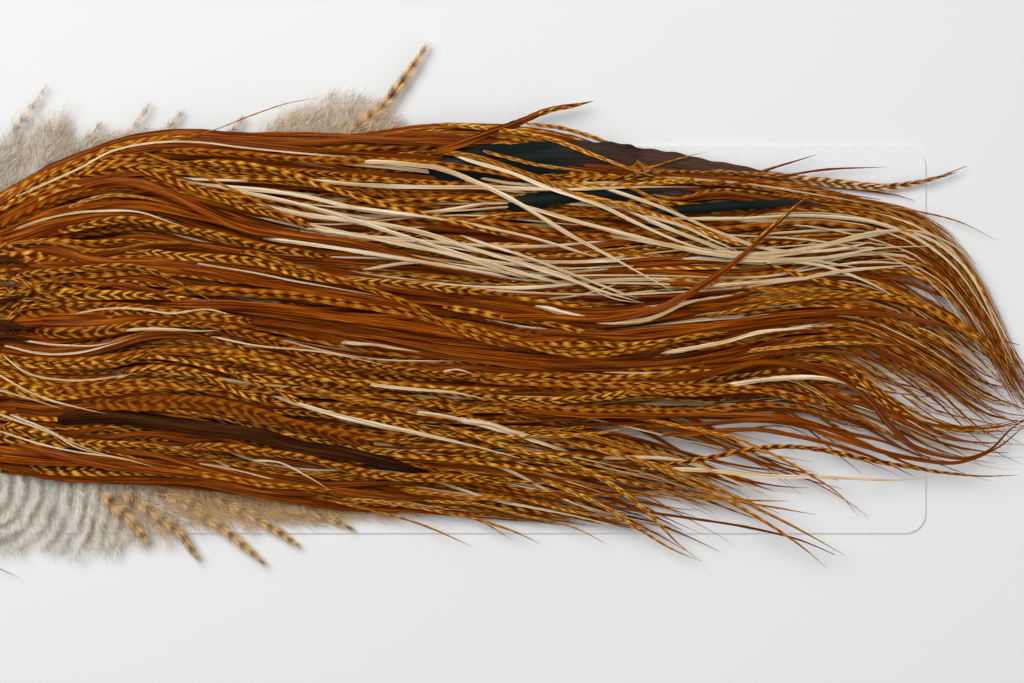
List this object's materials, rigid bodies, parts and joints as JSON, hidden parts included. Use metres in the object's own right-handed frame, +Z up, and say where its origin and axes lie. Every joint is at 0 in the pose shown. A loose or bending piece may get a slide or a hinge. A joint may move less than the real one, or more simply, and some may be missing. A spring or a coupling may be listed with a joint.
{
  "type": "rooster saddle",
  "caption": "Rooster saddle hide with long barred and brown hackles, laid flat along a stiff white round-cornered card, tips past its end.",
  "frame": {"origin": "centre of the backing card's underside", "axes": "+X along the card towards the hackle tips, +Y to the pelt's left side, +Z up out of the card"},
  "size_m": [0.4166, 0.1544, 0.0201],
  "materials": {
    "card": "smooth white coated card",
    "pelt": "glossy barred, brown and cream hackles on dried hide"
  },
  "bodies": {
    "root": {"backing_card": "card", "saddle_pelt": "pelt"}
  },
  "joints": []
}
